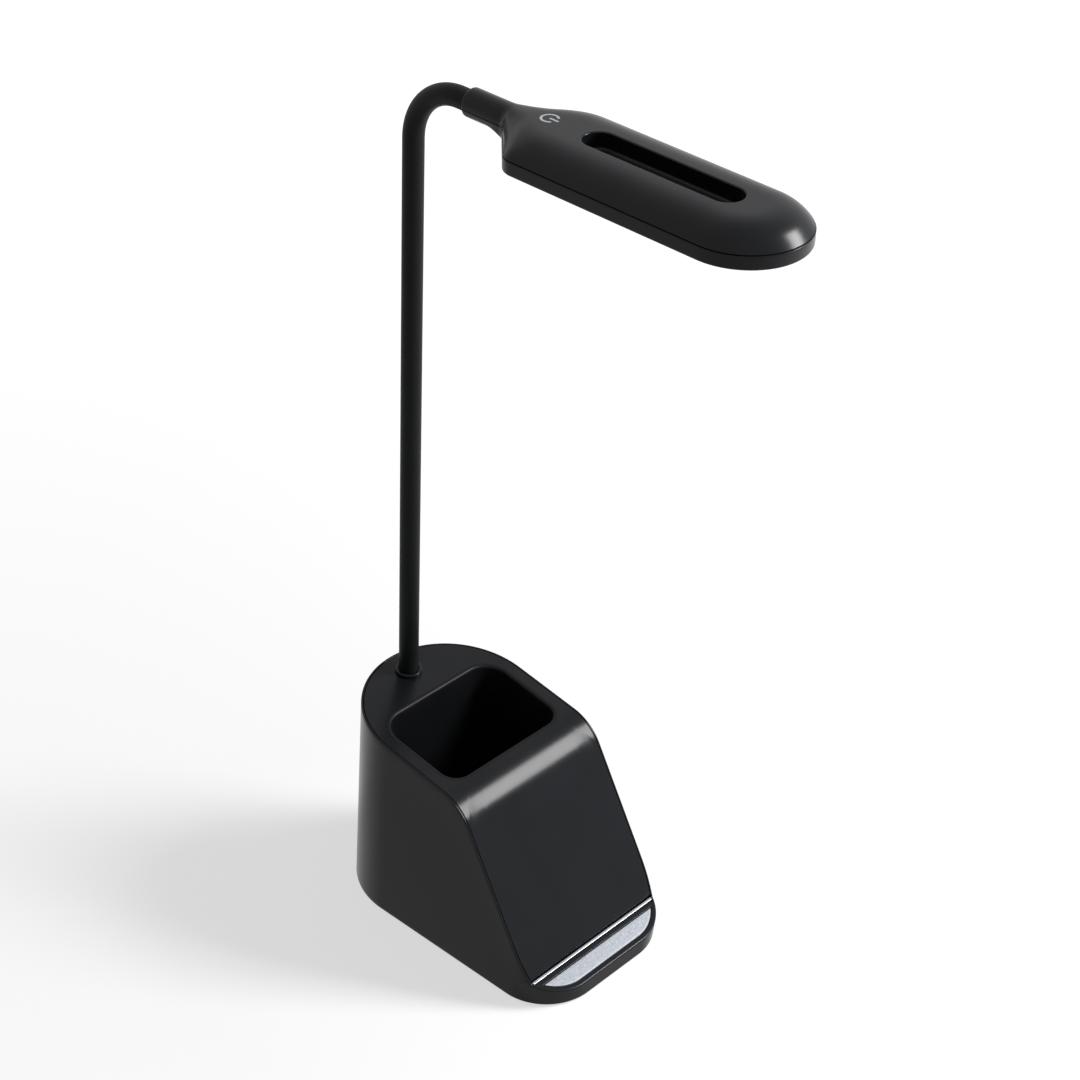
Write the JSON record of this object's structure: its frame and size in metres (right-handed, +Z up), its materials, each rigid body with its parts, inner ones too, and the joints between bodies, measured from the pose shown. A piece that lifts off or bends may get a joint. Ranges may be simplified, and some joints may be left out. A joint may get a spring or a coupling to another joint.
{
  "type": "desk lamp with pen holder",
  "caption": "Desk lamp on a weighted base with an open pen cup and a sloped phone ledge, a bendable neck and a long flat LED head with a touch switch.",
  "frame": {"origin": "centre of the base's underside, in the plane of the anti-slip pad's foot", "axes": "+Z is up; the lamp faces -Y, where the phone ledge and the head point; +X is to its left as it faces the user"},
  "size_m": [0.0854, 0.2255, 0.3996],
  "materials": {
    "body_plastic": "satin black moulded plastic",
    "inner_plastic": "matt black moulded plastic",
    "neck_silicone": "black silicone, dull sheen",
    "chrome_trim": "bright plated trim",
    "silver_pad": "satin silver-grey",
    "steel": "zinc-plated steel",
    "opal_plastic": "white opal, matt",
    "green_board": "green circuit board",
    "white_board": "white circuit board with light chips",
    "cell_wrap": "shrink-wrapped cell",
    "lead_sheath": "dark grey sheath",
    "copper": "copper sheet",
    "pale_print": "pale grey, matt"
  },
  "bodies": {
    "base": {"anti_slip_pad": "neck_silicone", "ballast_plate": "steel", "base_screw_0": "steel", "base_screw_1": "steel", "base_screw_2": "steel", "base_screw_3": "steel", "base_shell": "body_plastic", "battery_cell": "cell_wrap", "battery_cradle": "inner_plastic", "board_screw_0": "steel", "board_screw_1": "steel", "bottom_cover": "inner_plastic", "control_board": "green_board", "ledge_pad": "silver_pad", "neck_anchor": "steel", "neck_collar": "neck_silicone", "neck_core_0": "steel", "neck_lead": "lead_sheath", "neck_nut": "steel", "neck_sleeve_0": "neck_silicone", "neck_washer": "steel", "pen_cup": "inner_plastic", "top_cover": "body_plastic", "trim_strip": "chrome_trim", "usb_board": "green_board", "usb_board_screw_0": "steel", "usb_board_screw_1": "steel", "usb_lead": "lead_sheath", "usb_socket": "steel"},
    "neck_1": {"neck_core_1": "steel", "neck_sleeve_1": "neck_silicone"},
    "neck_2": {"neck_core_2": "steel", "neck_sleeve_2": "neck_silicone"},
    "neck_3": {"neck_core_3": "steel", "neck_sleeve_3": "neck_silicone"},
    "neck_4": {"neck_core_4": "steel", "neck_sleeve_4": "neck_silicone"},
    "neck_5": {"neck_core_5": "steel", "neck_sleeve_5": "neck_silicone"},
    "neck_6": {"neck_core_6": "steel", "neck_sleeve_6": "neck_silicone"},
    "neck_7": {"neck_core_7": "steel", "neck_sleeve_7": "neck_silicone"},
    "neck_8": {"neck_core_8": "steel", "neck_sleeve_8": "neck_silicone"},
    "head": {"diffuser": "opal_plastic", "head_frame": "body_plastic", "head_lead": "lead_sheath", "head_screw_0": "steel", "head_screw_1": "steel", "head_top_shell": "body_plastic", "led_board": "white_board", "led_board_screw_0": "steel", "led_board_screw_1": "steel", "neck_core_9": "steel", "neck_sleeve_9": "neck_silicone", "power_symbol": "pale_print", "touch_disc": "copper", "touch_spring": "steel"}
  },
  "joints": [
    {"name": "neck_bend", "type": "hinge", "parent": "base", "child": "neck_1", "pos_m": [0, 0.05211, 0.14855], "axis": [1, 0, 0], "range_deg": [-12, 12]},
    {"name": "neck_sway", "type": "hinge", "parent": "neck_1", "child": "neck_2", "pos_m": [0, 0.05012, 0.1915], "axis": [0, 0.9989, 0.0464], "range_deg": [-12, 12]},
    {"name": "neck_bend_2", "type": "hinge", "parent": "neck_2", "child": "neck_3", "pos_m": [0, 0.04812, 0.23446], "axis": [1, 0, 0], "range_deg": [-12, 12]},
    {"name": "neck_sway_2", "type": "hinge", "parent": "neck_3", "child": "neck_4", "pos_m": [0, 0.04612, 0.27741], "axis": [0, 0.9989, 0.0464], "range_deg": [-12, 12]},
    {"name": "neck_bend_3", "type": "hinge", "parent": "neck_4", "child": "neck_5", "pos_m": [0, 0.04413, 0.32036], "axis": [1, 0, 0], "range_deg": [-12, 12]},
    {"name": "crown_bend", "type": "hinge", "parent": "neck_5", "child": "neck_6", "pos_m": [0, 0.04204, 0.36532], "axis": [1, 0, 0], "range_deg": [-14, 14]},
    {"name": "crown_bend_2", "type": "hinge", "parent": "neck_6", "child": "neck_7", "pos_m": [0, 0.03795, 0.38157], "axis": [1, 0, 0], "range_deg": [-14, 14]},
    {"name": "crown_bend_3", "type": "hinge", "parent": "neck_7", "child": "neck_8", "pos_m": [0, 0.02503, 0.39215], "axis": [1, 0, 0], "range_deg": [-14, 14]},
    {"name": "head_turn", "type": "hinge", "parent": "neck_8", "child": "head", "pos_m": [0, 0.01438, 0.39377], "axis": [0, -0.0314, 0.9995], "range_deg": [-20, 20]}
  ],
  "couplings": [
    {"joint": "neck_bend_2", "follows": "neck_bend", "ratio": 1},
    {"joint": "neck_bend_3", "follows": "neck_bend", "ratio": 1},
    {"joint": "neck_sway_2", "follows": "neck_sway", "ratio": 1},
    {"joint": "crown_bend_2", "follows": "crown_bend", "ratio": 1},
    {"joint": "crown_bend_3", "follows": "crown_bend", "ratio": 1}
  ]
}
